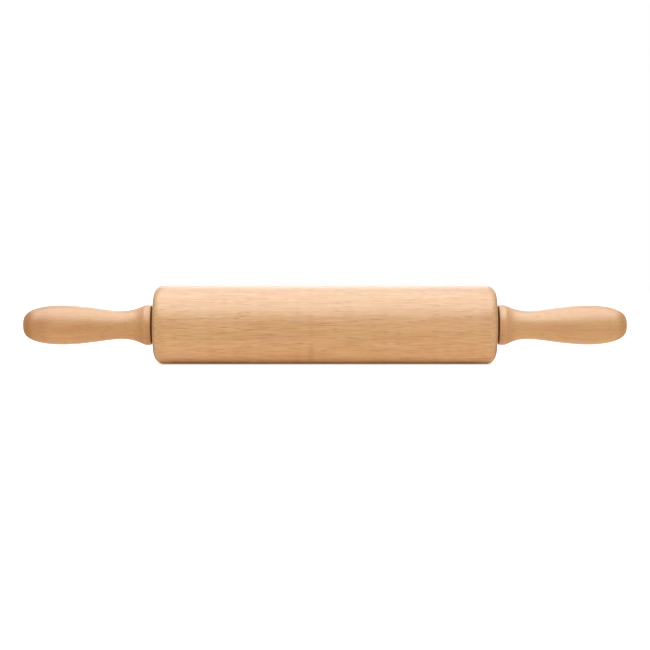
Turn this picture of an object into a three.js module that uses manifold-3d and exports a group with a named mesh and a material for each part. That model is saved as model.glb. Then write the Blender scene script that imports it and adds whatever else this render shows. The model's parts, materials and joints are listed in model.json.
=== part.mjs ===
import * as THREE from 'three';
import { mergeVertices } from 'three/addons/utils/BufferGeometryUtils.js';
import Module from 'manifold-3d';

// A rolling pin that lies along X and rests on the ground at z = 0. Sizes are in millimetres.

// Barrel
const barrelLength = 254;
const barrelDiameter = 57.7;
const barrelEdgeReach = 6.8; // rounding of the barrel's ends, along the axis
const barrelEdgeDrop = 8.7; // the same rounding, towards the axis
const axleRoom = 1; // free room round the axle in the barrel's bore

// Handles, from the collar's face outwards
const endGap = 1.75; // open gap between the barrel's end and a collar
const collarDiameter = 29.9;
const collarLength = 6;
const collarCrest = 3; // the collar is a bead, widest here
const collarEdge = 0.9; // rounding of the collar's face, towards the axis
const creaseDiameter = 28.5; // where the collar meets the cove
const coveLength = 16.2;
const neckDiameter = 21;
const swellLength = 44.1;
const bulbDiameter = 29.1;
const tipLength = 28.7;
const tipFlatDiameter = 6.4;
const tipDome = 0.35;

// Pulls of the handle's curves, as shares of each stretch
const collarPull = 0.6;
const coveCreasePull = 0.31;
const coveCreaseFall = 0.6;
const coveNeckPull = 0.45;
const swellNeckPull = 0.23;
const swellBulbPull = 0.42;
const tipBulbPull = 0.66;
const tipEndPull = 0.6;

// Axle and the brass sleeves that hold its ends in the handles
const axleDiameter = 8;
const axleInHandle = 32; // length of axle inside each handle
const axleChamfer = 0.8;
const boreRun = 2; // bore beyond the axle's end
const drillPoint = 2.4;
const insertWall = 2;
const insertLength = 24;
const insertGrooves = 2;
const insertGrooveWidth = 4;
const insertGrooveDepth = 0.6;

// Ball bearings, one in each end of the barrel
const ballDiameter = 3.969;
const ballCount = 7;
const innerRingWall = 1.2; // metal under the ball track
const outerRingWall = 1.4; // metal outside the ball track
const trackDepth = 0.65;
const bearingSide = 1.5; // width of the rings beyond the ball on each side
const bearingRecess = 1; // the bearing sits this far inside the barrel's end
const sealThickness = 0.4;
const sealRecess = 0.6;
const sealLedge = 0.7; // step in the outer ring that the seal sits in
const cageFront = 1.2; // reach of the cage past the ball's middle

// Bearing cup, spacer and clip
const cupWall = 1.9;
const cupFloor = 2;
const cupFloorReach = 2.5; // how far the floor reaches in behind the outer ring
const cupRecess = 0.3;
const clipThickness = 1;
const clipHeight = 1.6; // reach of the clip outside the axle
const clipGrooveDepth = 0.5;
const clipMouth = Math.PI / 3; // open angle of the clip

// Clearances
const seatGap = 0.2; // between pieces that sit on or in each other
const trackGap = 0.15; // between a ball and its tracks
const pocketGap = 0.15; // between a ball and its pocket
const cageGap = 0.4; // between the cage and the rings or seals
const sealGap = 0.3; // between a seal and the inner ring

// Facets
const barrelSides = 48;
const handleSides = 32;
const fittingSides = 24;
const curveSteps = 6;
const edgeSteps = 3;
const trackSteps = 2;
const ballSides = 10;
const ballRings = 6;

// Radii, from the axle outwards
const barrelRadius = barrelDiameter / 2;
const axleRadius = axleDiameter / 2;
const ballRadius = ballDiameter / 2;
const axleBore = axleRadius + seatGap;
const insertRadius = axleBore + insertWall;
const insertBore = insertRadius + seatGap;
const innerTrack = axleBore + innerRingWall;
const innerShoulder = innerTrack + trackDepth;
const pitchRadius = innerTrack + trackGap + ballRadius;
const outerTrack = pitchRadius + ballRadius + trackGap;
const outerShoulder = outerTrack - trackDepth;
const outerRingRadius = outerTrack + outerRingWall;
const sealSeat = outerShoulder + sealLedge;
const cupBore = outerRingRadius + seatGap;
const cupRadius = cupBore + cupWall;
const counterbore = cupRadius + seatGap;
const barrelBore = axleRadius + axleRoom;

// Stations along the axis, measured from the middle of the pin
const barrelEnd = barrelLength / 2;
const collarFace = barrelEnd + endGap;
const axleEnd = collarFace + axleInHandle;
const bearingWidth = ballDiameter + 2 * bearingSide;
const bearingFace = barrelEnd - bearingRecess;
const bearingMiddle = bearingFace - bearingWidth / 2;
const bearingBack = bearingFace - bearingWidth;
const cupMouth = barrelEnd - cupRecess;
const cupSeat = bearingBack - seatGap;
const cupBack = cupSeat - cupFloor;
const counterboreFloor = cupBack - seatGap;
const clipFace = bearingBack - seatGap;
const clipBack = clipFace - clipThickness;

const beech = { color: 0xd6a373, roughness: 0.5, metalness: 0 };
const steel = { color: 0xb9bcc0, roughness: 0.3, metalness: 1 };
const brass = { color: 0xc9a24d, roughness: 0.35, metalness: 1 };
const nylon = { color: 0x2b2521, roughness: 0.55, metalness: 0 };
const fibre = { color: 0x4a2f1f, roughness: 0.7, metalness: 0 };
const rubber = { color: 0x1c1c1e, roughness: 0.8, metalness: 0 };

const wasm = await Module();
wasm.setup();

function piece(name, geometry, finish) {
  const mesh = new THREE.Mesh(geometry, new THREE.MeshStandardMaterial(finish));
  mesh.name = name;
  return mesh;
}

// Turns an outline of (radius, height) points about Y. The flats of the facets lie on the true circle,
// and one flat faces straight up and one straight down.
function turn(points, sides) {
  const facet = 1 / Math.cos(Math.PI / sides);
  const outline = points.map((point) => new THREE.Vector2(point.x * facet, point.y));
  return new THREE.LatheGeometry(outline, sides, Math.PI / sides);
}

// A ring outline from corner pairs, closed on itself.
function ring(corners, sides) {
  const points = corners.map(([radius, height]) => new THREE.Vector2(radius, height));
  points.push(points[0].clone());
  return turn(points, sides);
}

function toSolid(geometry) {
  geometry.deleteAttribute('normal');
  geometry.deleteAttribute('uv');
  const merged = mergeVertices(geometry);
  const vertProperties = new Float32Array(merged.attributes.position.array);
  const triVerts = new Uint32Array(merged.index.array);
  return new wasm.Manifold(new wasm.Mesh({ numProp: 3, vertProperties, triVerts }));
}

function toGeometry(solid) {
  const { vertProperties, triVerts } = solid.getMesh();
  const geometry = new THREE.BufferGeometry();
  geometry.setAttribute('position', new THREE.BufferAttribute(vertProperties, 3));
  geometry.setIndex(new THREE.BufferAttribute(triVerts, 1));
  return geometry;
}

// The barrel: bored through, with a counterbore in each end for the bearing cup.
function makeBarrel() {
  const edgeRadius = barrelRadius - barrelEdgeDrop;
  const edgeStart = barrelEnd - barrelEdgeReach;
  const outline = new THREE.Path();
  outline.moveTo(barrelBore, counterboreFloor);
  outline.lineTo(barrelBore, -counterboreFloor);
  outline.lineTo(counterbore, -counterboreFloor);
  outline.lineTo(counterbore, -barrelEnd);
  outline.lineTo(edgeRadius, -barrelEnd);
  outline.absellipse(edgeRadius, -edgeStart, barrelEdgeDrop, barrelEdgeReach, -Math.PI / 2, 0, false, 0);
  outline.lineTo(barrelRadius, edgeStart);
  outline.absellipse(edgeRadius, edgeStart, barrelEdgeDrop, barrelEdgeReach, 0, Math.PI / 2, false, 0);
  outline.lineTo(counterbore, barrelEnd);
  outline.lineTo(counterbore, counterboreFloor);
  outline.closePath();
  return piece('barrel', turn(outline.getPoints(edgeSteps), barrelSides), beech);
}

// The axle: a rod with chamfered ends and a groove for each clip.
function makeAxle() {
  const grooveFace = clipFace + seatGap;
  const grooveBack = clipBack - seatGap;
  const grooveRadius = axleRadius - clipGrooveDepth;
  const half = [
    [axleRadius, grooveBack],
    [grooveRadius, grooveBack],
    [grooveRadius, grooveFace],
    [axleRadius, grooveFace],
    [axleRadius, axleEnd - axleChamfer],
    [axleRadius - axleChamfer, axleEnd],
    [0, axleEnd],
  ];
  const otherHalf = half.map(([radius, height]) => [radius, -height]).reverse();
  const points = [...otherHalf, ...half].map(([radius, height]) => new THREE.Vector2(radius, height));
  return piece('axle_rod', turn(points, fittingSides), steel);
}

// A handle, measured from its collar's face: the bore first, then the turned outside up to the tip.
function makeHandle(side) {
  const collarRadius = collarDiameter / 2;
  const creaseRadius = creaseDiameter / 2;
  const neckRadius = neckDiameter / 2;
  const bulbRadius = bulbDiameter / 2;
  const tipRadius = tipFlatDiameter / 2;
  const neck = collarLength + coveLength;
  const bulb = neck + swellLength;
  const tip = bulb + tipLength;
  const insertSeat = insertLength + 2 * seatGap;
  const boreEnd = axleInHandle + boreRun;
  const coveFall = creaseRadius - coveCreaseFall * (creaseRadius - neckRadius);
  const tipPull = tipRadius + tipEndPull * (bulbRadius - tipRadius);
  const outline = new THREE.Path();
  outline.moveTo(0, boreEnd + drillPoint);
  outline.lineTo(axleBore, boreEnd);
  outline.lineTo(axleBore, insertSeat);
  outline.lineTo(insertBore, insertSeat);
  outline.lineTo(insertBore, 0);
  outline.lineTo(collarRadius - collarEdge, 0);
  outline.quadraticCurveTo(collarRadius, (1 - collarPull) * collarCrest, collarRadius, collarCrest);
  const grip = new THREE.Path();
  grip.moveTo(collarRadius, collarCrest);
  grip.quadraticCurveTo(
    collarRadius, collarCrest + collarPull * (collarLength - collarCrest),
    creaseRadius, collarLength,
  );
  grip.bezierCurveTo(
    coveFall, collarLength + coveCreasePull * coveLength,
    neckRadius, neck - coveNeckPull * coveLength,
    neckRadius, neck,
  );
  grip.bezierCurveTo(
    neckRadius, neck + swellNeckPull * swellLength,
    bulbRadius, bulb - swellBulbPull * swellLength,
    bulbRadius, bulb,
  );
  grip.bezierCurveTo(
    bulbRadius, bulb + tipBulbPull * tipLength,
    tipPull, tip,
    tipRadius, tip,
  );
  grip.lineTo(0, tip + tipDome);
  const points = [...outline.getPoints(edgeSteps), ...grip.getPoints(curveSteps).slice(1)];
  const handle = piece(`${side}_handle`, turn(points, handleSides), beech);
  handle.position.y = collarFace;
  return handle;
}

// The brass sleeve at the mouth of a handle's bore, with grooves that grip the wood.
function makeInsert(side) {
  const pitch = insertLength / (insertGrooves + 1);
  const corners = [[axleBore, 0], [insertRadius, 0]];
  for (let i = 1; i <= insertGrooves; i += 1) {
    const start = i * pitch - insertGrooveWidth / 2;
    const end = start + insertGrooveWidth;
    corners.push([insertRadius, start], [insertRadius - insertGrooveDepth, start]);
    corners.push([insertRadius - insertGrooveDepth, end], [insertRadius, end]);
  }
  corners.push([insertRadius, insertLength], [axleBore, insertLength]);
  const insert = piece(`${side}_handle_insert`, ring(corners, fittingSides), brass);
  insert.position.y = collarFace + seatGap;
  return insert;
}

// A spacer between the handle and the bearing's inner ring. It sets the gap that shows.
function makeSpacer(side) {
  const start = bearingFace + seatGap;
  const end = collarFace;
  const corners = [[axleBore, start], [innerShoulder, start], [innerShoulder, end], [axleBore, end]];
  return piece(`${side}_spacer_washer`, ring(corners, fittingSides), fibre);
}

// The cup that seats the bearing in the barrel. Its floor stops the outer ring.
function makeCup(side) {
  const floorHole = outerRingRadius - cupFloorReach;
  const corners = [
    [floorHole, cupBack],
    [cupRadius, cupBack],
    [cupRadius, cupMouth],
    [cupBore, cupMouth],
    [cupBore, cupSeat],
    [floorHole, cupSeat],
  ];
  return piece(`${side}_bearing_cup`, ring(corners, fittingSides), nylon);
}

// Adds a ball track to a ring's outline: an arc about the ball's middle, from one shoulder to the other.
function addTrack(outline, shoulder) {
  const radius = ballRadius + trackGap;
  const reach = Math.acos(Math.abs(shoulder - pitchRadius) / radius);
  const facing = shoulder > pitchRadius ? 0 : Math.PI;
  outline.absarc(pitchRadius, bearingMiddle, radius, facing + reach, facing - reach, true);
}

function makeOuterRing(side) {
  const outline = new THREE.Path();
  outline.moveTo(sealSeat, bearingBack);
  outline.lineTo(outerRingRadius, bearingBack);
  outline.lineTo(outerRingRadius, bearingFace);
  outline.lineTo(sealSeat, bearingFace);
  outline.lineTo(sealSeat, bearingFace - sealRecess);
  outline.lineTo(outerShoulder, bearingFace - sealRecess);
  addTrack(outline, outerShoulder);
  outline.lineTo(outerShoulder, bearingBack + sealRecess);
  outline.lineTo(sealSeat, bearingBack + sealRecess);
  outline.closePath();
  return piece(`${side}_bearing_outer_ring`, turn(outline.getPoints(trackSteps), fittingSides), steel);
}

function makeInnerRing(side) {
  const outline = new THREE.Path();
  outline.moveTo(axleBore, bearingFace);
  outline.lineTo(axleBore, bearingBack);
  outline.lineTo(innerShoulder, bearingBack);
  addTrack(outline, innerShoulder);
  outline.lineTo(innerShoulder, bearingFace);
  outline.closePath();
  return piece(`${side}_bearing_inner_ring`, turn(outline.getPoints(trackSteps), fittingSides), steel);
}

// A seal closes the bearing between its rings. It sits in the outer ring's step.
function makeSeal(side, place, start) {
  const inside = innerShoulder + sealGap;
  const outside = sealSeat - seatGap;
  const end = start + sealThickness;
  const corners = [[inside, start], [outside, start], [outside, end], [inside, end]];
  return piece(`${side}_bearing_${place}_seal`, ring(corners, fittingSides), rubber);
}

function ballPlace(index) {
  const angle = (index * 2 * Math.PI) / ballCount;
  return new THREE.Vector3(pitchRadius * Math.sin(angle), bearingMiddle, pitchRadius * Math.cos(angle));
}

function makeBall(side, index) {
  const sphere = new THREE.SphereGeometry(ballRadius, ballSides, ballRings);
  const ball = piece(`${side}_bearing_ball_${index + 1}`, sphere, steel);
  ball.position.copy(ballPlace(index));
  return ball;
}

// The cage: a crown with a round pocket for each ball, open towards the outboard side.
function makeCage(side) {
  const inside = innerShoulder + cageGap;
  const outside = outerShoulder - cageGap;
  const back = bearingBack + sealRecess + cageGap;
  const front = bearingMiddle + cageFront;
  const corners = [[inside, back], [outside, back], [outside, front], [inside, front]];
  let crown = toSolid(ring(corners, fittingSides));
  for (let i = 0; i < ballCount; i += 1) {
    const pocket = new THREE.SphereGeometry(ballRadius + pocketGap, ballSides, ballRings);
    pocket.translate(...ballPlace(i));
    crown = crown.subtract(toSolid(pocket));
  }
  return piece(`${side}_bearing_cage`, toGeometry(crown), nylon);
}

// The clip: an open ring in the axle's groove, against the back of the inner ring.
function makeClip(side) {
  const inside = axleRadius - clipGrooveDepth + seatGap;
  const outside = axleRadius + clipHeight;
  const start = clipMouth / 2;
  const end = 2 * Math.PI - clipMouth / 2;
  const outline = new THREE.Shape();
  outline.absarc(0, 0, outside, start, end, false);
  outline.absarc(0, 0, inside, end, start, true);
  const settings = { depth: clipThickness, bevelEnabled: false, curveSegments: fittingSides / 2 };
  const geometry = new THREE.ExtrudeGeometry(outline, settings);
  geometry.rotateX(-Math.PI / 2);
  const clip = piece(`${side}_retaining_clip`, geometry, steel);
  clip.position.y = clipBack;
  return clip;
}

// One end of the pin, from the bearing to the handle's tip, laid out along +Y.
function makeEnd(side) {
  const end = new THREE.Group();
  end.add(makeHandle(side), makeInsert(side), makeSpacer(side), makeCup(side), makeClip(side));
  end.add(makeOuterRing(side), makeInnerRing(side), makeCage(side));
  const sealInset = (sealRecess - sealThickness) / 2;
  end.add(makeSeal(side, 'outboard', bearingFace - sealInset - sealThickness));
  end.add(makeSeal(side, 'inboard', bearingBack + sealInset));
  for (let i = 0; i < ballCount; i += 1) {
    end.add(makeBall(side, i));
  }
  return end;
}

// The pieces are turned about Y, so the whole pin is laid down along X and lifted onto its barrel.
const rightEnd = makeEnd('right');
const leftEnd = makeEnd('left');
leftEnd.rotation.z = Math.PI;
const turnedPieces = new THREE.Group();
turnedPieces.add(makeBarrel(), makeAxle(), rightEnd, leftEnd);
turnedPieces.rotation.z = -Math.PI / 2;
turnedPieces.position.z = barrelRadius;
const rollingPin = new THREE.Group();
rollingPin.add(turnedPieces);

export default rollingPin;
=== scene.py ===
import bpy
import json
import math
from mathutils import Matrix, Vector

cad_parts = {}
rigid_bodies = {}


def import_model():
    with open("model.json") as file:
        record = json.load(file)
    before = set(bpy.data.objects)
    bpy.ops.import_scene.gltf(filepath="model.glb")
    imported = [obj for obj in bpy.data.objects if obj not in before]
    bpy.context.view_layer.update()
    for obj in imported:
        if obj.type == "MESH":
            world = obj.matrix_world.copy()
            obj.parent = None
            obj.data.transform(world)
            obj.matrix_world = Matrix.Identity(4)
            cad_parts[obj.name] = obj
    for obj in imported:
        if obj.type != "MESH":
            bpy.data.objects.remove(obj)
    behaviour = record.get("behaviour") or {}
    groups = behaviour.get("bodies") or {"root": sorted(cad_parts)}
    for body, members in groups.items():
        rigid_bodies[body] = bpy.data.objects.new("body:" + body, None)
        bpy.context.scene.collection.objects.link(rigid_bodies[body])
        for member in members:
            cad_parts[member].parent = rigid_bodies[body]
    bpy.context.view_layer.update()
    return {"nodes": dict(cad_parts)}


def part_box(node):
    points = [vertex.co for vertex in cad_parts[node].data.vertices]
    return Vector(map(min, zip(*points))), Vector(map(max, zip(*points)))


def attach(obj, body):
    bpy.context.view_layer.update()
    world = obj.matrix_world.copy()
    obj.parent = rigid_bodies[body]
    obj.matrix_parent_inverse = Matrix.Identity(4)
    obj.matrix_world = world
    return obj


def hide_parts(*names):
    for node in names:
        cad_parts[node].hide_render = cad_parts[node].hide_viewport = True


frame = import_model()
scene = bpy.context.scene
scene.view_settings.view_transform = "Standard"
print("frame loaded with", len(frame["nodes"]), "nodes")

millimetre = 0.001
fitGap = 0.2 * millimetre  # room between pieces that sit in each other
barrelLow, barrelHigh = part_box("barrel")
axisHeight = (barrelLow.z + barrelHigh.z) / 2


# a piece's near and far distance from the pin's middle, and its radius
def spanOf(node):
    low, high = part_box(node)
    near, far = sorted((abs(low.x), abs(high.x)))
    return near, far, (high.z - low.z) / 2


axleEnd, axleRadius = spanOf("axle_rod")[1:]
axleBore = axleRadius + fitGap  # the hole in what sits on the axle
fixedBody = "axle_and_handles"
spinningBody = "barrel"


# camera: a little above the pin, a step or two away
cameraLook = {
    "distance": 1.6335,
    "elevation": 4,  # degrees above the table
    "halfWidth": 0.2413,  # half of what the picture takes in at the pin's axis
}


def makeCamera(look):
    tilt = math.radians(look["elevation"])
    back = Vector((0, -math.cos(tilt), math.sin(tilt))) * look["distance"]
    bpy.ops.object.camera_add(location=Vector((0, 0, axisHeight)) + back)
    camera = bpy.context.object
    camera.rotation_euler = (math.pi / 2 - tilt, 0, 0)
    camera.data.angle = 2 * math.atan(look["halfWidth"] / look["distance"])
    scene.camera = camera


makeCamera(cameraLook)
print("camera set")


# small helpers for node trees
def srgb(red, green, blue):
    def toLinear(value):
        share = value / 255
        return share / 12.92 if share <= 0.04045 else ((share + 0.055) / 1.055) ** 2.4

    return (toLinear(red), toLinear(green), toLinear(blue), 1)


def setSocket(tree, socket, value):
    if isinstance(value, bpy.types.NodeSocket):
        tree.links.new(value, socket)
    else:
        socket.default_value = value


def addNode(tree, kind, inputs, **settings):
    node = tree.nodes.new(kind)
    for key, value in settings.items():
        setattr(node, key, value)
    for key, value in inputs.items():
        setSocket(tree, node.inputs[key], value)
    return node


def addMath(tree, operation, *values):
    return addNode(tree, "ShaderNodeMath", dict(enumerate(values)), operation=operation).outputs[0]


def remap(tree, value, fromLow, fromHigh, toLow, toHigh, kind="SMOOTHSTEP"):
    ranges = {"Value": value, "From Min": fromLow, "From Max": fromHigh, "To Min": toLow, "To Max": toHigh}
    return addNode(tree, "ShaderNodeMapRange", ranges, interpolation_type=kind).outputs[0]


def stretched(tree, vector, scale, place=(0, 0, 0)):
    inputs = {"Vector": vector, "Scale": scale, "Location": place}
    return addNode(tree, "ShaderNodeMapping", inputs).outputs[0]


noiseSpan = (0.3, 0.7)  # most values of a noise lie in here


def noise(tree, vector, scale, detail, rough):
    inputs = {"Vector": stretched(tree, vector, scale), "Scale": 1, "Detail": detail, "Roughness": rough}
    return addNode(tree, "ShaderNodeTexNoise", inputs).outputs[0]


def blendColour(tree, factor, first, second, kind="MIX"):
    node = addNode(tree, "ShaderNodeMix", {}, data_type="RGBA", blend_type=kind)
    for index, value in ((0, factor), (6, first), (7, second)):
        setSocket(tree, node.inputs[index], value)
    return node.outputs[2]


def newMaterial(name, roughness, metallic=0):
    material = bpy.data.materials.new(name)
    material.use_nodes = True
    shader = material.node_tree.nodes["Principled BSDF"]
    shader.inputs["Roughness"].default_value = roughness
    shader.inputs["Metallic"].default_value = metallic
    return material, material.node_tree, shader


def inMillimetres(tree, coords, place=(0, 0, 0), turn=(0, 0, 0)):
    return addNode(tree, "ShaderNodeMapping", {
        "Vector": coords.outputs["Object"],
        "Scale": (1 / millimetre,) * 3,
        "Location": place,
        "Rotation": turn,
    }).outputs[0]


def addBump(tree, shader, height, depth, strength):
    bump = addNode(tree, "ShaderNodeBump", {"Height": height, "Distance": depth, "Strength": strength})
    tree.links.new(bump.outputs[0], shader.inputs["Normal"])


# beech: lengthwise fibres, short dark ray flecks, faint growth rings, darker end grain that also paints
# shade
beechLook = {
    "dark": srgb(187, 127, 67),
    "middle": srgb(207, 155, 100),
    "light": srgb(220, 171, 117),
    "pale": srgb(231, 193, 152),
    "rosy": srgb(211, 155, 112),
    "straw": srgb(210, 165, 103),
    "fleck": srgb(158, 88, 34),
    "stops": {"dark": 0.12, "middle": 0.42, "light": 0.64, "pale": 0.92},  # where the tones lie in the grain
    "lean": (0.15, 0.2),  # degrees that the grain runs off the axis, upwards and sideways
    # layers of the grain: waves in a millimetre along and across it, and their share in the colour
    "fibres": {"along": 0.035, "across": 0.9, "detail": 3, "rough": 0.55, "share": 0.95},
    "hairs": {"along": 0.06, "across": 2.1, "detail": 2, "rough": 0.55, "share": 0.9},
    "clouds": {"along": 0.014, "across": 0.075, "detail": 2, "rough": 0.5, "share": 0.4},
    "patches": {"along": 0.02, "across": 0.13, "detail": 2, "rough": 0.5, "share": 0.3},
    "patchSpan": (0.35, 0.65),  # values of the patches, from rosy to straw-coloured
    # ray flecks: cells in a millimetre along and across the grain, which of them show, and how strongly
    "shine": {"along": 0.08, "across": 0.95, "start": 0.5, "strength": 0.6},
    "dashes": {"along": 0.11, "across": 1.25, "start": 0.5, "strength": 0.6},
    "longDashes": {"along": 0.05, "across": 1.15, "start": 0.62, "strength": 0.6},
    "fleckEdge": (0.12, 0.42),  # distance from a fleck's middle, from full colour to none
    "markEdge": (0.3, 1),  # the same for a mark
    "ringWidth": 3.2,
    "ringRun": 0.02,  # how fast the rings change along the pin
    "ringShare": 0.07,
    "satin": (0.38, 0.5),
    "endDull": 0.5,  # roughness that end grain adds
    "poreDepth": 0.02 * millimetre,
    "poreStrength": 0.5,
}
barrelWood = {
    "place": (0, 0, 0),  # shift of the pattern, so that no two pieces look cut alike
    "pith": (46, -70),  # centre of the growth rings, across the grain
    "tone": 0,  # darker below 0
    "figure": 1,  # how strongly the grain shows
    "tint": srgb(255, 255, 255),  # every colour is multiplied by it
    "endGrainShade": srgb(226, 214, 200),
    "endSlope": (0.7, 0.9),  # how far the surface leans to the end where the end grain, with its painted shade, starts and is full
    # marks in the grain, and faint bands of painted shade, in millimetres and degrees: place along the pin,
    # distance from its axis, turn up from the front, length, width, depth of colour
    "marksAndShade": (
        (22.2, 28.8, 9, 3.2, 0.9, 0.75),
        (22.2, 28.8, 9.4, 11, 0.9, 0.3),
        (85, 28.8, 54.5, 2.6, 0.9, 0.6),
        (85, 28.8, 55, 12, 0.9, 0.25),
        (82, 28.8, 34, 7, 0.9, 0.6),
        (105.5, 28.8, 15.7, 10, 0.9, 0.6),
        (96, 28.8, 13.5, 8, 0.9, 0.35),
        (-62.4, 28.8, 21, 7, 0.9, 0.6),
        (-61, 28.8, 16.3, 8, 0.9, 0.35),
        (-74.4, 28.8, -7.2, 7, 0.9, 0.5),
        (-54, 28.8, -3, 22, 0.9, 0.35),
        (4, 28.8, 54, 15, 0.9, 0.35),
        (-10.3, 28.8, -48, 7, 34, 0.16),
        # painted shade: a faint dark band along the front, just below the middle
        (0, 28.8, -12, 320, 13, 0.1),
    ),
}
leftWood = {
    "place": (300, 40, 15),
    "pith": (-95, 60),
    "tone": -0.1,
    "figure": 0.5,
    "tint": srgb(248, 243, 231),
    # end grain starts early here, so it also paints shade on the cove and the tip
    "endGrainShade": srgb(236, 226, 212),
    "endSlope": (0.2, 0.6),
    "marksAndShade": (
        (-174.4, 13.4, -4, 2.4, 4, 0.35),
        (-159.6, 11.6, -5, 2.2, 4, 0.35),
        (-186.3, 14.4, -26, 3, 3, 0.25),
        # painted shade: a broad darkening over the left tip, most on its upper side
        (-213, 4, 40, 34, 80, 0.27),
        # painted shade: a faint dark band along the front, just below the middle
        (-178, 13.5, -9, 130, 10, 0.16),
    ),
}
rightWood = {
    "place": (180, -60, 35),
    "pith": (-80, -75),
    "tone": -0.03,
    "figure": 0.5,
    "tint": srgb(252, 251, 247),
    # end grain starts early here, so it also paints shade on the cove and the tip
    "endGrainShade": srgb(240, 231, 217),
    "endSlope": (0.2, 0.6),
    "marksAndShade": (
        (199.8, 14.5, -9, 12, 1.2, 0.3),
        (159.7, 11.6, 10, 5, 1, 0.35),
        (181.9, 14.2, 4, 5, 1, 0.3),
        # painted shade: a faint dark band along the front, just below the middle
        (178, 13.5, -9, 130, 10, 0.2),
    ),
}


def addGrain(tree, wood, layer):
    scale = (layer["along"], layer["across"], layer["across"])
    return noise(tree, wood, scale, layer["detail"], layer["rough"])


def addFlecks(tree, wood, flecks, edge, figure):
    scale = (flecks["along"], flecks["across"], flecks["across"])
    cells = addNode(tree, "ShaderNodeTexVoronoi", {"Vector": stretched(tree, wood, scale), "Scale": 1})
    pick = addNode(tree, "ShaderNodeSeparateColor", {"Color": cells.outputs["Color"]}).outputs[0]
    dash = remap(tree, cells.outputs["Distance"], *edge, 1, 0)
    shown = remap(tree, pick, flecks["start"], 1, 0, flecks["strength"] * figure)
    return addMath(tree, "MULTIPLY", dash, shown)


def addMark(tree, metric, mark, edge):
    along, radius, turn, length, width, strength = mark
    angle = math.radians(turn)
    centre = (along, -radius * math.cos(angle), axisHeight / millimetre + radius * math.sin(angle))
    scale = (2 / length, 2 / width, 2 / width)
    moved = stretched(tree, metric, scale, [-c * s for c, s in zip(centre, scale)])
    away = addNode(tree, "ShaderNodeVectorMath", {0: moved}, operation="LENGTH").outputs["Value"]
    return remap(tree, away, *edge, strength, 0)


def makeBeech(name, look, cut):
    material, tree, shader = newMaterial(name, look["satin"][0])
    coords = addNode(tree, "ShaderNodeTexCoord", {})
    metric = inMillimetres(tree, coords)
    lean = [math.radians(angle) for angle in look["lean"]]
    wood = inMillimetres(tree, coords, cut["place"], (0, *lean))
    kinds = ("fibres", "hairs", "clouds", "patches")
    fibres, hairs, clouds, patches = [addGrain(tree, wood, look[kind]) for kind in kinds]
    rings = addNode(tree, "ShaderNodeTexWave", {
        "Vector": stretched(tree, wood, (look["ringRun"], 1, 1), (0, -cut["pith"][0], -cut["pith"][1])),
        "Scale": math.pi / 10 / look["ringWidth"],  # rings lie pi / 10 apart at a scale of 1
        "Distortion": 3,
        "Detail": 2,
        "Detail Scale": 0.12,
    }, wave_type="RINGS", rings_direction="X", wave_profile="SAW").outputs[1]
    tone = addMath(tree, "MULTIPLY", rings, look["ringShare"])
    middle = 0.5 + cut["tone"]
    figure = cut["figure"]
    shares = [look[kind]["share"] for kind in kinds]
    for layer, share in ((fibres, shares[0] * figure), (hairs, shares[1] * figure), (clouds, shares[2])):
        tone = addMath(tree, "MULTIPLY_ADD", layer, share, tone)
        middle -= share / 2
    ramp = addNode(tree, "ShaderNodeValToRGB", {"Fac": addMath(tree, "ADD", tone, middle)})
    stops = ramp.color_ramp.elements
    for shade, position in look["stops"].items():
        stops.new(position).color = look[shade]
    stops.remove(stops[-1])  # the ramp's own white and black ends
    stops.remove(stops[0])
    warmth = remap(tree, patches, *look["patchSpan"], 0, 1)
    warmColour = blendColour(tree, warmth, look["rosy"], look["straw"])
    colour = blendColour(tree, shares[3], ramp.outputs[0], warmColour)
    # ray flecks: long thin cells, some of them pale and some dark
    rays = ("shine", "dashes", "longDashes")
    shine, short, long = [addFlecks(tree, wood, look[ray], look["fleckEdge"], figure) for ray in rays]
    colour = blendColour(tree, shine, colour, look["pale"])
    dashes = addMath(tree, "MAXIMUM", short, long)
    # the marks join the dark flecks: grain marks, and the bands of painted shade
    for mark in cut["marksAndShade"]:
        dashes = addMath(tree, "MAXIMUM", dashes, addMark(tree, metric, mark, look["markEdge"]))
    colour = blendColour(tree, dashes, colour, look["fleck"])
    colour = blendColour(tree, 1, colour, cut["tint"], "MULTIPLY")
    # end grain drinks more finish and looks darker; the same darkening also paints the shade on surfaces
    # that lean towards the ends, most on the handles' coves and tips
    facing = addNode(tree, "ShaderNodeSeparateXYZ", {"Vector": coords.outputs["Normal"]}).outputs[0]
    across = remap(tree, addMath(tree, "ABSOLUTE", facing), *cut["endSlope"], 0, 1)
    colour = blendColour(tree, across, colour, cut["endGrainShade"], "MULTIPLY")
    tree.links.new(colour, shader.inputs["Base Color"])
    satin = remap(tree, fibres, *noiseSpan, *look["satin"], "LINEAR")
    dull = addMath(tree, "MULTIPLY_ADD", across, look["endDull"], satin)
    tree.links.new(dull, shader.inputs["Roughness"])
    height = addMath(tree, "SUBTRACT", addMath(tree, "ADD", fibres, hairs), dashes)
    addBump(tree, shader, height, look["poreDepth"], look["poreStrength"])
    return material


barrelBeech = makeBeech("barrelBeech", beechLook, barrelWood)
gripBeech = {
    "left": makeBeech("leftBeech", beechLook, leftWood),
    "right": makeBeech("rightBeech", beechLook, rightWood),
}
print("wood mixed")

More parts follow.
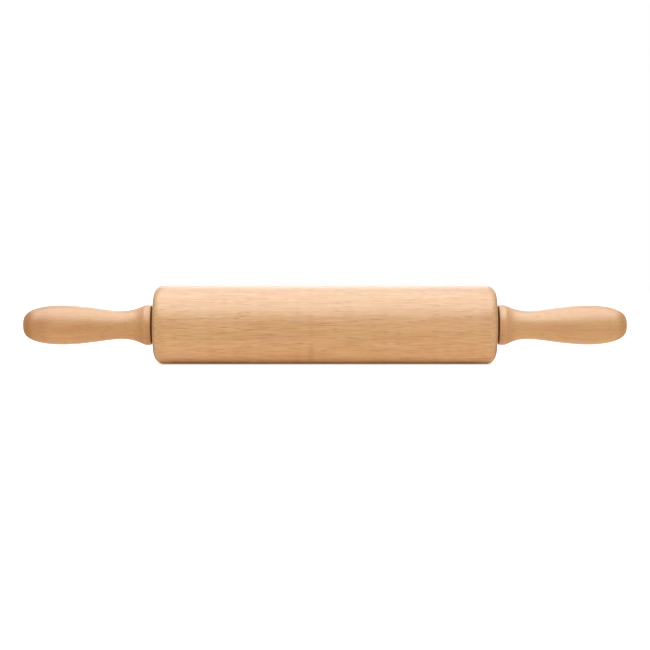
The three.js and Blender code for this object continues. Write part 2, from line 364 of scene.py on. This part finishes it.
# metal, plastic, fibre and rubber inside the barrel's ends; the nylon and fibre are a dark reddish brown
# that also paints the shade seen in the gap between barrel and handle
metalLooks = {
    "groundSteel": {"tones": (srgb(172, 175, 180), srgb(206, 208, 211)), "roughness": (0.2, 0.34)},
    "turnedBrass": {"tones": (srgb(176, 136, 60), srgb(221, 184, 104)), "roughness": (0.26, 0.42)},
}
dullLooks = {
    # nylon, dark reddish brown: also painted shade in the gap
    "nylonGapShade": {
        "tones": (srgb(94, 40, 8), srgb(120, 56, 14)),
        "grain": 2.4,  # waves in a millimetre
        "roughness": (0.6, 0.72),
        "gloss": 0.3,  # how much of its surroundings it mirrors
    },
    # fibre, dark reddish brown: also painted shade in the gap
    "fibreGapShade": {
        "tones": (srgb(110, 52, 14), srgb(146, 78, 24)),
        "grain": 1.1,
        "roughness": (0.68, 0.82),
        "gloss": 0.1,
    },
    "sealRubber": {
        "tones": (srgb(22, 22, 24), srgb(38, 38, 40)),
        "grain": 3.5,
        "roughness": (0.72, 0.86),
        "gloss": 0.4,
    },
}


def makeMetal(name, look):
    material, tree, shader = newMaterial(name, look["roughness"][0], metallic=1)
    metric = inMillimetres(tree, addNode(tree, "ShaderNodeTexCoord", {}))
    turning = noise(tree, metric, (14, 0.25, 0.25), detail=3, rough=0.6)  # fine tool lines round the axis
    tarnish = noise(tree, metric, (0.5, 0.5, 0.5), detail=3, rough=0.55)
    colour = blendColour(tree, remap(tree, tarnish, *noiseSpan, 0, 1), *look["tones"])
    tree.links.new(colour, shader.inputs["Base Color"])
    polish = remap(tree, turning, *noiseSpan, *look["roughness"], "LINEAR")
    tree.links.new(polish, shader.inputs["Roughness"])
    addBump(tree, shader, turning, depth=0.01 * millimetre, strength=0.4)
    return material


def makeDull(name, look):
    material, tree, shader = newMaterial(name, look["roughness"][0])
    shader.inputs["Specular IOR Level"].default_value = look["gloss"]
    metric = inMillimetres(tree, addNode(tree, "ShaderNodeTexCoord", {}))
    grain = noise(tree, metric, (look["grain"],) * 3, detail=4, rough=0.65)
    colour = blendColour(tree, remap(tree, grain, *noiseSpan, 0, 1), *look["tones"])
    tree.links.new(colour, shader.inputs["Base Color"])
    matt = remap(tree, grain, *noiseSpan, *look["roughness"], "LINEAR")
    tree.links.new(matt, shader.inputs["Roughness"])
    addBump(tree, shader, grain, depth=0.02 * millimetre, strength=0.4)
    return material


finishes = {name: makeMetal(name, look) for name, look in metalLooks.items()}
finishes.update({name: makeDull(name, look) for name, look in dullLooks.items()})
print("metal, plastic and rubber mixed")


# turned pieces: the outline is drawn beside the axis by extruding one corner, then spun round the axis
turnLook = {
    "mergeGap": 0.004 * millimetre,
    "bevelSteps": 2,
    "bevelAngle": math.radians(40),  # sharper corners than this are softened
    "smoothAngle": math.radians(32),
}


def drawOutline(name, outline, turn=0):
    sideways = (-math.sin(turn), math.cos(turn))
    spots = [Vector((along, up * sideways[0], axisHeight + up * sideways[1])) for along, up in outline]
    bpy.ops.object.select_all(action="DESELECT")
    bpy.ops.mesh.primitive_plane_add(size=millimetre, location=spots[0])
    piece = bpy.context.object
    piece.name = name
    bpy.ops.object.mode_set(mode="EDIT")
    bpy.ops.mesh.select_all(action="SELECT")
    bpy.ops.mesh.merge(type="CENTER")
    for here, there in zip(spots, spots[1:]):
        bpy.ops.mesh.extrude_region_move(TRANSFORM_OT_translate={"value": there - here})
    return piece


def turnPiece(name, outline, sides, softEdge=0, sweep=math.tau, turn=0):
    piece = drawOutline(name, outline, turn)
    bpy.ops.mesh.select_all(action="SELECT")
    bpy.ops.mesh.spin(steps=sides, angle=sweep, center=(0, 0, axisHeight), axis=(1, 0, 0))
    bpy.ops.mesh.select_all(action="SELECT")
    bpy.ops.mesh.remove_doubles(threshold=turnLook["mergeGap"])
    if sweep < math.tau:
        bpy.ops.mesh.fill_holes(sides=4)
        bpy.ops.mesh.select_all(action="SELECT")
    bpy.ops.mesh.normals_make_consistent(inside=False)
    bpy.ops.object.mode_set(mode="OBJECT")
    bpy.ops.object.transform_apply(location=True, rotation=True, scale=True)
    if softEdge:
        bevel = piece.modifiers.new("softEdge", "BEVEL")
        bevel.width = softEdge
        bevel.segments = turnLook["bevelSteps"]
        bevel.limit_method = "ANGLE"
        bevel.angle_limit = turnLook["bevelAngle"]
        bpy.ops.object.modifier_apply(modifier=bevel.name)
    bpy.ops.object.shade_smooth_by_angle(angle=turnLook["smoothAngle"])
    return piece


def closed(corners):
    return list(corners) + [corners[0]]


def tube(near, far, inner, outer):
    return closed([(near, inner), (near, outer), (far, outer), (far, inner)])


def curve(start, pullOut, pullIn, end, steps):
    points = []
    for step in range(1, steps + 1):
        t = step / steps
        weights = ((1 - t) ** 3, 3 * (1 - t) ** 2 * t, 3 * (1 - t) * t * t, t ** 3)
        corners = list(zip(weights, (start, pullOut, pullIn, end)))
        points.append(tuple(sum(w * corner[axis] for w, corner in corners) for axis in (0, 1)))
    return points


def copyOf(piece, name):
    bpy.ops.object.select_all(action="DESELECT")
    piece.select_set(True)
    bpy.context.view_layer.objects.active = piece
    bpy.ops.object.duplicate(linked=False)
    copy = bpy.context.object
    copy.name = name
    return copy


def finishPiece(piece, material, body, node):
    piece.data.materials.clear()
    piece.data.materials.append(material)
    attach(piece, body)
    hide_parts(node)


# a piece of the right end also serves, turned round, at the left end
def fitBothEnds(piece, name, material, body, node):
    copy = copyOf(piece, "left" + name)
    bpy.ops.transform.rotate(value=math.pi, orient_axis="Z", center_override=(0, 0, 0))
    bpy.ops.object.transform_apply(location=True, rotation=True, scale=True)
    for side, part in (("right", piece), ("left", copy)):
        finish = material[side] if isinstance(material, dict) else material
        finishPiece(part, finish, body.format(side=side), side + "_" + node)


# barrel: rounded ends, bored through, counterbored for the bearing cups
barrelLook = {
    "edgeReach": 6.8 * millimetre,
    "edgeDrop": 8.7 * millimetre,
    "edgeSteps": 60,
    "bore": 5 * millimetre,
    "chamfer": 0.4 * millimetre,
    "toolLines": (3.8 * millimetre, 5 * millimetre),  # faint turned lines on the rounding
    "lineDepth": 0.1 * millimetre,
    "lineWidth": 0.16 * millimetre,
    "sides": 192,
}


def makeBarrel(look):
    end = barrelHigh.x
    radius = axisHeight - barrelLow.z
    cupBack, _, cupRadius = spanOf("right_bearing_cup")
    seat = cupRadius + fitGap
    floor = cupBack - fitGap
    half = [(0, look["bore"]), (floor, look["bore"]), (floor, seat)]
    half += [(end - look["chamfer"], seat), (end, seat + look["chamfer"])]
    for step in range(look["edgeSteps"] + 1):
        angle = math.pi / 2 * (1 - step / look["edgeSteps"])
        reach = look["edgeReach"] * math.sin(angle)
        cut = sum(math.exp(-((reach - line) / look["lineWidth"]) ** 2) for line in look["toolLines"])
        drop = look["edgeDrop"] * (1 - math.cos(angle)) + cut * look["lineDepth"]
        half.append((end - look["edgeReach"] + reach, radius - drop))
    outline = half + [(-along, up) for along, up in reversed(half)]
    return turnPiece("turnedBarrel", outline, look["sides"])


finishPiece(makeBarrel(barrelLook), barrelBeech, spinningBody, "barrel")
print("barrel turned")


# handles: collar bead, cove, neck, swelling and blunt tip, with the bore for the brass sleeve
gripLook = {
    "collarCrest": 3.2 * millimetre,
    "collarLength": 6 * millimetre,
    "collarEdge": 0.45 * millimetre,  # rounding of the collar's face, towards the axis
    "creaseRadius": 14.25 * millimetre,
    "coveRadius": 12 * millimetre,  # pull of the cove's curve below the crease
    "neckAt": 22.2 * millimetre,
    "neckRadius": 10.5 * millimetre,
    "bulbAt": 66.3 * millimetre,
    "bulbRadius": 14.55 * millimetre,
    "tipFlat": 3.2 * millimetre,  # radius of the nearly flat end
    "tipDome": 0.35 * millimetre,
    "boreRun": 2 * millimetre,  # bore past the axle's end
    "drillPoint": 2.4 * millimetre,
    "sides": 128,
    # curves of the outline: pull at the start and at the end, as shares of the run, and steps
    "rim": (0.55, 0.55, 16),
    "bead": (0.45, 0.3, 12),
    "cove": (0.31, 0.45, 20),
    "swell": (0.23, 0.42, 30),
    "taper": (0.66, 0.6, 30),
    "dome": (0.6, 0.3, 6),
}


def makeGrip(look):
    face, tip, collar = spanOf("right_handle")
    sleeveFar, sleeveRadius = spanOf("right_handle_insert")[1:]
    sleeveEnd = sleeveFar + fitGap
    sleeveSeat = sleeveRadius + fitGap
    boreEnd = axleEnd + look["boreRun"]
    rim = (face, collar - look["collarEdge"])
    crest = (face + look["collarCrest"], collar)
    crease = (face + look["collarLength"], look["creaseRadius"])
    neck = (face + look["neckAt"], look["neckRadius"])
    bulb = (face + look["bulbAt"], look["bulbRadius"])
    flat = (tip - look["tipDome"], look["tipFlat"])
    outline = [(boreEnd + look["drillPoint"], 0), (boreEnd, axleBore), (sleeveEnd, axleBore)]
    outline += [(sleeveEnd, sleeveSeat), (face, sleeveSeat), rim]
    pullOut, pullIn, steps = look["rim"]
    outline += curve(rim, (face, rim[1] + pullOut * look["collarEdge"]),
                     (crest[0] - pullIn * look["collarCrest"], collar), crest, steps)
    pullOut, pullIn, steps = look["bead"]
    bead = crease[0] - crest[0]
    cove = neck[0] - crease[0]
    slope = (crease[1] - look["coveRadius"]) / (look["cove"][0] * cove)  # where bead and cove meet
    outline += curve(crest, (crest[0] + pullOut * bead, collar),
                     (crease[0] - pullIn * bead, crease[1] + pullIn * bead * slope), crease, steps)
    pullOut, pullIn, steps = look["cove"]
    outline += curve(crease, (crease[0] + pullOut * cove, look["coveRadius"]),
                     (neck[0] - pullIn * cove, neck[1]), neck, steps)
    pullOut, pullIn, steps = look["swell"]
    swell = bulb[0] - neck[0]
    outline += curve(neck, (neck[0] + pullOut * swell, neck[1]),
                     (bulb[0] - pullIn * swell, bulb[1]), bulb, steps)
    pullOut, pullIn, steps = look["taper"]
    taper = flat[0] - bulb[0]
    outline += curve(bulb, (bulb[0] + pullOut * taper, bulb[1]),
                     (flat[0], flat[1] + pullIn * (bulb[1] - flat[1])), flat, steps)
    pullOut, pullIn, steps = look["dome"]
    outline += curve(flat, (tip, pullOut * flat[1]), (tip, pullIn * flat[1]), (tip, 0), steps)
    return turnPiece("rightGrip", outline, look["sides"])


fitBothEnds(makeGrip(gripLook), "Grip", gripBeech, fixedBody, "handle")
print("handles turned")


# axle: one ground rod, chamfered, with a groove for each clip
axleLook = {
    "chamfer": 0.8 * millimetre,
    "grooveDepth": 0.5 * millimetre,
    "sides": 64,
    "edge": 0.06 * millimetre,
}
clipNear, clipFar, clipRadius = spanOf("right_retaining_clip")


def makeAxle(look):
    groove = axleRadius - look["grooveDepth"]
    half = [(clipNear - fitGap, axleRadius), (clipNear - fitGap, groove)]
    half += [(clipFar + fitGap, groove), (clipFar + fitGap, axleRadius)]
    half += [(axleEnd - look["chamfer"], axleRadius), (axleEnd, axleRadius - look["chamfer"]), (axleEnd, 0)]
    outline = [(-along, up) for along, up in reversed(half)] + half
    return turnPiece("axleShaft", outline, look["sides"], look["edge"])


finishPiece(makeAxle(axleLook), finishes["groundSteel"], fixedBody, "axle_rod")
print("axle turned")


# clip: an open spring ring in the axle's groove, its mouth to the front on the right end
clipLook = {"mouth": math.pi / 3, "sides": 50, "edge": 0.12 * millimetre}


def makeClip(look):
    inner = axleRadius - axleLook["grooveDepth"] + fitGap
    outline = tube(clipNear, clipFar, inner, clipRadius)
    start = math.pi / 2 + look["mouth"] / 2
    return turnPiece("rightClip", outline, look["sides"], look["edge"], math.tau - look["mouth"], start)


fitBothEnds(makeClip(clipLook), "Clip", finishes["groundSteel"], fixedBody, "retaining_clip")
print("clips bent")


# brass sleeve in each handle, grooved to grip the wood
sleeveLook = {
    "grooves": 2,
    "grooveWidth": 4 * millimetre,
    "grooveDepth": 0.6 * millimetre,
    "sides": 64,
    "edge": 0.18 * millimetre,
}


def makeSleeve(look):
    near, far, radius = spanOf("right_handle_insert")
    pitch = (far - near) / (look["grooves"] + 1)
    low = radius - look["grooveDepth"]
    corners = [(near, axleBore), (near, radius)]
    for index in range(1, look["grooves"] + 1):
        start = near + index * pitch - look["grooveWidth"] / 2
        stop = start + look["grooveWidth"]
        corners += [(start, radius), (start, low), (stop, low), (stop, radius)]
    corners += [(far, radius), (far, axleBore)]
    return turnPiece("rightSleeve", closed(corners), look["sides"], look["edge"])


fitBothEnds(makeSleeve(sleeveLook), "Sleeve", finishes["turnedBrass"], fixedBody, "handle_insert")
print("sleeves turned")


# fibre spacer on the axle and nylon cup in the barrel
seatLook = {
    "cupWall": 1.9 * millimetre,
    "cupFloor": 2 * millimetre,
    "floorReach": 2.5 * millimetre,  # how far the cup's floor reaches in under the outer ring
    "sides": 72,
    "edge": 0.2 * millimetre,
}


def makeSpacer(look):
    near, far, radius = spanOf("right_spacer_washer")
    return turnPiece("rightSpacer", tube(near, far, axleBore, radius), look["sides"], look["edge"])


def makeCup(look):
    back, mouth, radius = spanOf("right_bearing_cup")
    hole = spanOf("right_bearing_outer_ring")[2] - look["floorReach"]
    bore = radius - look["cupWall"]
    seat = back + look["cupFloor"]
    corners = [(back, hole), (back, radius), (mouth, radius), (mouth, bore), (seat, bore), (seat, hole)]
    return turnPiece("rightCup", closed(corners), look["sides"], look["edge"])


fitBothEnds(makeSpacer(seatLook), "Spacer", finishes["fibreGapShade"], fixedBody, "spacer_washer")
fitBothEnds(makeCup(seatLook), "Cup", finishes["nylonGapShade"], spinningBody, "bearing_cup")
print("spacers and cups turned")


# ball bearing: two rings with a round track, seven balls in a crown cage, a rubber seal on each side
bearingLook = {
    "ballCount": 7,
    "trackGap": 0.15 * millimetre,
    "trackSteps": 12,
    "pocketGap": 0.15 * millimetre,
    "sealLedge": 0.7 * millimetre,
    "sealRecess": 0.6 * millimetre,
    "sealGap": 0.3 * millimetre,
    "sealHollow": 0.12 * millimetre,
    "sealRim": 0.22,  # flat rim of the seal's face, as a share of its width
    "sealSlope": 0.3,  # where its hollow is at full depth, as a share too
    "cageGap": 0.4 * millimetre,
    "sides": 72,
    "edge": 0.1 * millimetre,
}
ringNear, ringFar, ringRadius = spanOf("right_bearing_outer_ring")
innerShoulder = spanOf("right_bearing_inner_ring")[2]


# a ball's centre and its radius
def ballPlace(side, index):
    low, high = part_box("%s_bearing_ball_%d" % (side, index))
    return (low + high) / 2, (high.x - low.x) / 2


firstBall, ballRadius = ballPlace("right", 1)
pitchRadius = firstBall.z - axisHeight
outerShoulder = 2 * pitchRadius - innerShoulder


def track(shoulder, look):
    radius = ballRadius + look["trackGap"]
    reach = math.acos(abs(shoulder - pitchRadius) / radius)
    side = 1 if shoulder > pitchRadius else -1
    angles = [reach * (1 - 2 * step / look["trackSteps"]) for step in range(look["trackSteps"] + 1)]
    return [(firstBall.x + radius * math.sin(a), pitchRadius + side * radius * math.cos(a)) for a in angles]


def makeOuterRing(look):
    seat = outerShoulder + look["sealLedge"]
    nearStep = ringNear + look["sealRecess"]
    farStep = ringFar - look["sealRecess"]
    corners = [(ringNear, seat), (ringNear, ringRadius), (ringFar, ringRadius), (ringFar, seat)]
    corners += [(farStep, seat), (farStep, outerShoulder)] + track(outerShoulder, look)
    corners += [(nearStep, outerShoulder), (nearStep, seat)]
    return turnPiece("rightOuterRing", closed(corners), look["sides"], look["edge"])


def makeInnerRing(look):
    corners = [(ringNear, axleBore), (ringNear, innerShoulder)] + track(innerShoulder, look)[::-1]
    corners += [(ringFar, innerShoulder), (ringFar, axleBore)]
    return turnPiece("rightInnerRing", closed(corners), look["sides"], look["edge"])


def makeSeal(name, node, outside, look):
    near, far, radius = spanOf(node)
    face, rear = (far, near) if outside > 0 else (near, far)
    inner = innerShoulder + look["sealGap"]
    rim = look["sealRim"] * (radius - inner)
    slope = look["sealSlope"] * (radius - inner)
    dip = face - outside * look["sealHollow"]  # a shallow ring-shaped hollow in the seal's face
    corners = [(rear, inner), (rear, radius), (face, radius), (face, radius - rim)]
    corners += [(dip, radius - slope), (dip, inner + slope), (face, inner + rim), (face, inner)]
    return turnPiece(name, closed(corners), look["sides"], look["edge"] / 2)


def makeBall(name, radius, splits=4):
    bpy.ops.object.select_all(action="DESELECT")
    bpy.ops.mesh.primitive_cube_add(size=radius, location=firstBall)
    ball = bpy.context.object
    ball.name = name
    split = ball.modifiers.new("split", "SUBSURF")
    split.subdivision_type = "SIMPLE"
    split.levels = split.render_levels = splits
    swell = ball.modifiers.new("swell", "CAST")
    swell.factor = 1
    swell.use_radius_as_size = False
    swell.size = radius
    for modifier in (split.name, swell.name):
        bpy.ops.object.modifier_apply(modifier=modifier)
    bpy.ops.object.transform_apply(location=True, rotation=True, scale=True)
    bpy.ops.object.shade_smooth()
    return ball


def moveCopy(piece, name, way):
    copy = copyOf(piece, name)
    bpy.ops.transform.translate(value=way)
    bpy.ops.object.transform_apply(location=True, rotation=True, scale=True)
    return copy


def makeCage(look):
    near, far, radius = spanOf("right_bearing_cage")
    crown = turnPiece("rightCage", tube(near, far, innerShoulder + look["cageGap"], radius), look["sides"])
    pocket = makeBall("pocket", ballRadius + look["pocketGap"])
    for index in range(2, look["ballCount"] + 1):
        moveCopy(pocket, "pocket%d" % index, ballPlace("right", index)[0] - firstBall)
    bpy.ops.object.select_pattern(pattern="pocket*", extend=False)
    bpy.context.view_layer.objects.active = pocket
    bpy.ops.object.join()
    bpy.ops.object.select_all(action="DESELECT")
    crown.select_set(True)
    bpy.context.view_layer.objects.active = crown
    cut = crown.modifiers.new("pockets", "BOOLEAN")
    cut.operation = "DIFFERENCE"
    cut.object = pocket
    bpy.ops.object.modifier_apply(modifier=cut.name)
    bpy.data.objects.remove(pocket)
    bpy.ops.object.shade_smooth_by_angle(angle=turnLook["smoothAngle"])
    return crown


steel = finishes["groundSteel"]
fitBothEnds(makeOuterRing(bearingLook), "OuterRing", steel, spinningBody, "bearing_outer_ring")
fitBothEnds(makeInnerRing(bearingLook), "InnerRing", steel, fixedBody, "bearing_inner_ring")
for place, outside in (("outboard", 1), ("inboard", -1)):
    label = place.capitalize() + "Seal"
    seal = makeSeal("right" + label, "right_bearing_%s_seal" % place, outside, bearingLook)
    fitBothEnds(seal, label, finishes["sealRubber"], spinningBody, "bearing_%s_seal" % place)
fitBothEnds(makeCage(bearingLook), "Cage", finishes["nylonGapShade"], "{side}_cage", "bearing_cage")
ballSeed = makeBall("ballSeed", ballRadius)
for side in ("right", "left"):
    for index in range(1, bearingLook["ballCount"] + 1):
        ball = moveCopy(ballSeed, "%sBall%d" % (side, index), ballPlace(side, index)[0] - firstBall)
        finishPiece(ball, steel, side + "_cage", "%s_bearing_ball_%d" % (side, index))
bpy.data.objects.remove(ballSeed)
print("bearings built")


# floor and lights: a white sweep under soft studio light; the floor also glows as painted bounce light, with
# painted shadow under the pin
floorLook = {
    "radius": 1.1,
    "sides": 96,
    "fade": 0.45,  # outer band where the floor fades into the backdrop
    "shade": 0.92,
    "glow": 0.6,  # what the camera sees, on top of the lamps' light
    "under": 0.05,  # light that the white floor sends up from under the barrel
    "beside": 0.41,  # from close beside it
    "around": 0.2,  # and from further out
    "ends": 0.55,  # painted shadow: how much of the floor's glow is left under the handles
    "cover": (0.009, 0.028),  # distance in front of or behind the pin's line, from the painted shadow under it to none
    "barrelEnd": (0.11, 0.14),  # distance along it, from the barrel to the handles
    "near": (0.04, 0.1),  # distance from it again, from close beside to further out
}
worldLook = {"light": 0.29}
# side lamps leave no highlight, and sheen lamps give nothing else
lampLooks = {
    "keySoftbox": {"place": (0, -1.07, 1.04), "size": (0.8, 0.8), "power": 8.9},
    "backSoftbox": {"place": (0, 1.3, 0.9), "size": (0.6, 0.8), "power": 5},
    "leftSoftbox": {"place": (-1.2, 0.7, 0.8), "size": (0.6, 0.6), "power": 5.3, "glossy": False},
    "rightSoftbox": {"place": (1.2, 0.7, 0.8), "size": (0.6, 0.6), "power": 5.3, "glossy": False},
    "topSheen": {"place": (0, 0, 1), "size": (2.8, 1.2), "power": 61, "diffuse": False},
    "frontSheen": {"place": (0, -0.8, 0.95), "size": (2.8, 0.4), "power": 12, "diffuse": False},
}


# what the camera sees, and what it sees in a shiny or clear surface
def rayKinds(tree):
    path = addNode(tree, "ShaderNodeLightPath", {}).outputs
    mirrored = addMath(tree, "MAXIMUM", path["Is Glossy Ray"], path["Is Transmission Ray"])
    return path["Is Camera Ray"], mirrored


def makeFloor(look):
    bpy.ops.object.select_all(action="DESELECT")
    bpy.ops.mesh.primitive_circle_add(
        vertices=look["sides"], radius=look["radius"], fill_type="NGON", location=(0, 0, 0))
    floor = bpy.context.object
    floor.name = "floor"
    material = bpy.data.materials.new("floorWhite")
    material.use_nodes = True
    tree = material.node_tree
    tree.nodes.remove(tree.nodes["Principled BSDF"])
    coords = addNode(tree, "ShaderNodeTexCoord", {}).outputs["Object"]
    away = addNode(tree, "ShaderNodeVectorMath", {0: coords}, operation="LENGTH").outputs["Value"]
    solid = remap(tree, away, look["radius"] - look["fade"], look["radius"], 1, 0)
    spot = addNode(tree, "ShaderNodeSeparateXYZ", {"Vector": coords}).outputs
    along, beside = [addMath(tree, "ABSOLUTE", spot[axis]) for axis in (0, 1)]
    lowest = remap(tree, along, *look["barrelEnd"], 0, look["ends"])
    unshadowed = remap(tree, beside, *look["cover"], lowest, 1)  # painted shadow in the floor's glow: 0 where the barrel covers the floor
    outer = remap(tree, beside, *look["near"], look["beside"], look["around"])
    bounce = remap(tree, unshadowed, 0, 1, look["under"], outer, "LINEAR")
    seen, mirrored = rayKinds(tree)
    # shiny surfaces see the floor's glow with the same painted shadow under the barrel
    reflected = addMath(tree, "MULTIPLY", unshadowed, look["glow"])
    glow = remap(tree, mirrored, 0, 1, bounce, reflected, "LINEAR")
    glow = remap(tree, seen, 0, 1, glow, look["glow"], "LINEAR")
    paint = addNode(tree, "ShaderNodeBsdfDiffuse", {"Color": (look["shade"],) * 3 + (1,)}).outputs[0]
    light = addNode(tree, "ShaderNodeEmission", {"Strength": glow}).outputs[0]
    both = addNode(tree, "ShaderNodeAddShader", {0: paint, 1: light}).outputs[0]
    clear = addNode(tree, "ShaderNodeBsdfTransparent", {}).outputs[0]
    mixed = addNode(tree, "ShaderNodeMixShader", {0: solid, 1: clear, 2: both}).outputs[0]
    tree.links.new(mixed, tree.nodes["Material Output"].inputs["Surface"])
    floor.data.materials.append(material)


def makeWorld(look):
    world = bpy.data.worlds.new("studio")
    scene.world = world
    world.use_nodes = True
    tree = world.node_tree
    backdrop = tree.nodes["Background"]
    backdrop.inputs["Color"].default_value = (1, 1, 1, 1)
    white = addMath(tree, "MAXIMUM", *rayKinds(tree))
    tree.links.new(remap(tree, white, 0, 1, look["light"], 1, "LINEAR"), backdrop.inputs["Strength"])


def addLamp(name, look):
    bpy.ops.object.light_add(type="AREA", location=look["place"])
    lamp = bpy.context.object
    lamp.name = name
    aim = Vector((0, 0, axisHeight)) - Vector(look["place"])
    lamp.rotation_euler = aim.to_track_quat("-Z", "Y").to_euler()
    lamp.data.shape = "RECTANGLE"
    lamp.data.size, lamp.data.size_y = look["size"]
    lamp.data.energy = look["power"]
    lamp.visible_diffuse = look.get("diffuse", True)
    lamp.visible_glossy = look.get("glossy", True)


makeFloor(floorLook)
makeWorld(worldLook)
for lampName, lampLook in lampLooks.items():
    addLamp(lampName, lampLook)
print("studio lit")
